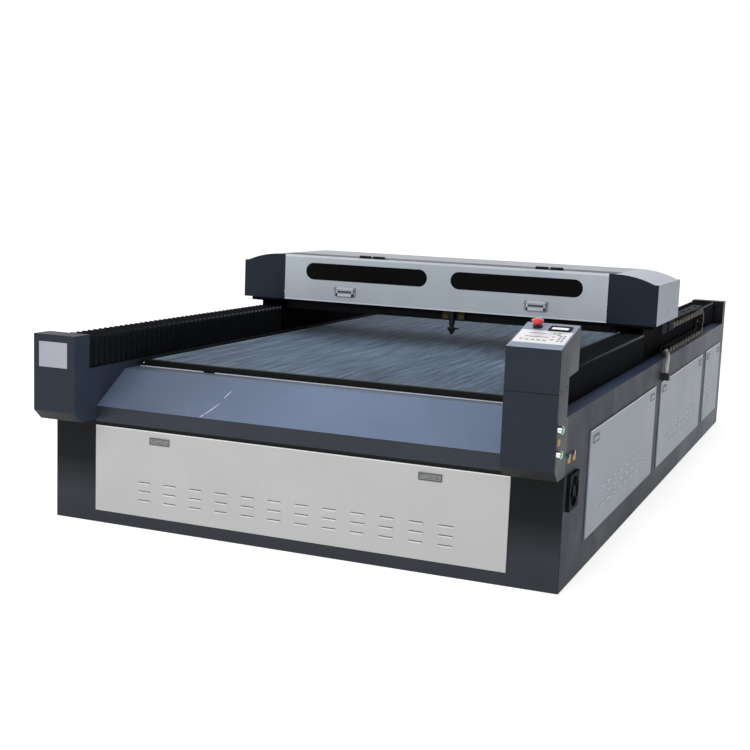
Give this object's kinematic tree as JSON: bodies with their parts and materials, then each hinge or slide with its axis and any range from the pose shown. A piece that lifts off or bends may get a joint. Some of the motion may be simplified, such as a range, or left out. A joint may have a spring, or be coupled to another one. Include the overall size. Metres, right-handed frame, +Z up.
{
  "type": "laser cutting machine",
  "caption": "Flat-bed laser cutting machine: ribbed table in a sheet-metal base, travelling gantry with a lifting windowed flap, folded bellows, drag chain and a corner console.",
  "frame": {"origin": "centre of the base's footprint on the floor", "axes": "+X to the console side (right), +Y from the front to the back, +Z up"},
  "size_m": [2.2444, 4.357, 1.092],
  "materials": {
    "paint_dark": "fine textured powder coat",
    "paint_apron": "satin paint",
    "paint_light": "satin powder coat",
    "paint_silver": "brushed silver paint",
    "paint_pale": "satin powder coat",
    "paint_black": "satin black paint",
    "bellows_cloth": "coated cloth, semi-matt",
    "aluminium": "brushed along the ribs",
    "zinc_sheet": "zinc plated",
    "steel": "ground",
    "chrome": "polished",
    "belt_rubber": "matt",
    "motor_black": "matt black",
    "unit_case": "anodised",
    "keypad_film": "matt film",
    "black_plastic": "fine grain",
    "red_plastic": "gloss",
    "green_plastic": "gloss",
    "chain_plastic": "moulded",
    "conduit_plastic": "moulded",
    "tube_glass": "clear",
    "window_acrylic": "dark tint, gloss",
    "hinge_black": "satin black",
    "head_black": "anodised black"
  },
  "bodies": {
    "base": {"base_frame": "paint_dark", "front_skin": "paint_dark", "right_skin": "paint_dark", "left_skin": "paint_dark", "rear_skin": "paint_dark", "left_panels": "paint_light", "aprons": "paint_apron", "rail_beams": "paint_dark", "end_boxes": "paint_dark", "console_pedestal": "paint_dark", "y_rails": "steel", "y_belts": "belt_rubber", "y_motors": "motor_black", "front_bellows": "bellows_cloth", "rear_bellows": "bellows_cloth", "bed_frame": "paint_black", "bed_panel": "aluminium", "hopper": "zinc_sheet", "electrical_plate": "zinc_sheet", "control_units": "unit_case", "console_box": "paint_dark", "console_plate": "paint_apron", "keypad": "keypad_film", "lcd_display": "black_plastic", "switch_bezels": "chrome", "side_inserts": "black_plastic", "fan_housing": "black_plastic", "chain_trough": "zinc_sheet", "drag_chain": "chain_plastic", "cable_hose": "conduit_plastic"},
    "gantry": {"gantry_beam": "paint_black", "gantry_hood": "paint_pale", "gantry_caps": "paint_dark", "trucks": "paint_black", "laser_tube": "tube_glass", "optic_mounts": "steel", "x_motor": "motor_black", "x_belt": "belt_rubber", "chain_arm": "paint_pale", "flap_hinges": "hinge_black"},
    "flap": {"flap": "paint_silver", "flap_leaves": "hinge_black", "window_panes": "window_acrylic", "handle_plates": "steel"},
    "handles": {"handle_bails": "chrome"},
    "carriage": {"laser_head": "head_black"},
    "focus": {"lens_tube": "head_black"},
    "x_drive": {"x_pulley": "steel"},
    "x_return": {"x_idler": "steel"},
    "y_drive": {"y_pulleys": "steel"},
    "y_return": {"y_idlers": "steel"},
    "fan": {"fan_rotor": "black_plastic"},
    "front_panel": {"front_door": "paint_light"},
    "latches": {"front_latches": "steel"},
    "door_1": {"right_door_1": "paint_light"},
    "door_2": {"right_door_2": "paint_light"},
    "door_3": {"right_door_3": "paint_light"},
    "estop": {"estop_head": "red_plastic"},
    "start": {"start_button": "green_plastic"},
    "stop": {"stop_button": "green_plastic"}
  },
  "joints": [
    {"name": "gantry_slide", "type": "slide", "parent": "base", "child": "gantry", "axis": [0, 1, 0], "range_m": [-1.3, 1.3], "deforming": ["front_bellows", "rear_bellows", "drag_chain"]},
    {"name": "head_slide", "type": "slide", "parent": "gantry", "child": "carriage", "axis": [1, 0, 0], "range_m": [-0.86, 0.73]},
    {"name": "focus_slide", "type": "slide", "parent": "carriage", "child": "focus", "axis": [0, 0, 1], "range_m": [-0.015, 0.012]},
    {"name": "flap_hinge", "type": "hinge", "parent": "gantry", "child": "flap", "pos_m": [0, -0.408, 1.085], "axis": [-1, 0, 0], "range_deg": [0, 100]},
    {"name": "handle_swing", "type": "hinge", "parent": "flap", "child": "handles", "pos_m": [0, -0.439, 0.914], "axis": [-1, 0, 0], "range_deg": [0, 90]},
    {"name": "front_panel_hinge", "type": "hinge", "parent": "base", "child": "front_panel", "pos_m": [0, -2.0729, 0.0545], "axis": [1, 0, 0], "range_deg": [0, 85]},
    {"name": "latch_pull", "type": "hinge", "parent": "front_panel", "child": "latches", "pos_m": [0, -2.0759, 0.3816], "axis": [-1, 0, 0], "range_deg": [0, 30]},
    {"name": "side_door_1", "type": "hinge", "parent": "base", "child": "door_1", "pos_m": [1.1029, -1.022, 0.1185], "axis": [0, 1, 0], "range_deg": [0, 85]},
    {"name": "side_door_2", "type": "hinge", "parent": "base", "child": "door_2", "pos_m": [1.1029, 0.488, 0.1185], "axis": [0, 1, 0], "range_deg": [0, 85]},
    {"name": "side_door_3", "type": "hinge", "parent": "base", "child": "door_3", "pos_m": [1.1029, 1.613, 0.1185], "axis": [0, 1, 0], "range_deg": [0, 85]},
    {"name": "estop_press", "type": "slide", "parent": "base", "child": "estop", "axis": [0, 0.2286, -0.9735], "range_m": [0, 0.005], "stiffness_N_per_m": 1500},
    {"name": "start_press", "type": "slide", "parent": "base", "child": "start", "axis": [-1, 0, 0], "range_m": [0, 0.003], "stiffness_N_per_m": 800},
    {"name": "stop_press", "type": "slide", "parent": "base", "child": "stop", "axis": [-1, 0, 0], "range_m": [0, 0.003], "stiffness_N_per_m": 800},
    {"name": "fan_spin", "type": "hinge", "parent": "base", "child": "fan", "pos_m": [1.08, -1.96, 0.367], "axis": [1, 0, 0], "continuous": true},
    {"name": "y_drive_spin", "type": "hinge", "parent": "base", "child": "y_drive", "pos_m": [0.998, 2.0185, 0.715], "axis": [1, 0, 0], "continuous": true},
    {"name": "y_return_spin", "type": "hinge", "parent": "base", "child": "y_return", "pos_m": [0.998, -2.1755, 0.715], "axis": [1, 0, 0], "continuous": true},
    {"name": "x_drive_spin", "type": "hinge", "parent": "gantry", "child": "x_drive", "pos_m": [0.85, -0.34, 0.868], "axis": [0, 1, 0], "continuous": true},
    {"name": "x_return_spin", "type": "hinge", "parent": "gantry", "child": "x_return", "pos_m": [-0.85, -0.34, 0.868], "axis": [0, 1, 0], "continuous": true}
  ],
  "couplings": [
    {"joint": "y_drive_spin", "follows": "gantry_slide", "rad_per_m": -33.445},
    {"joint": "y_return_spin", "follows": "gantry_slide", "rad_per_m": -33.445},
    {"joint": "x_drive_spin", "follows": "head_slide", "rad_per_m": -50.251},
    {"joint": "x_return_spin", "follows": "head_slide", "rad_per_m": -50.251}
  ]
}
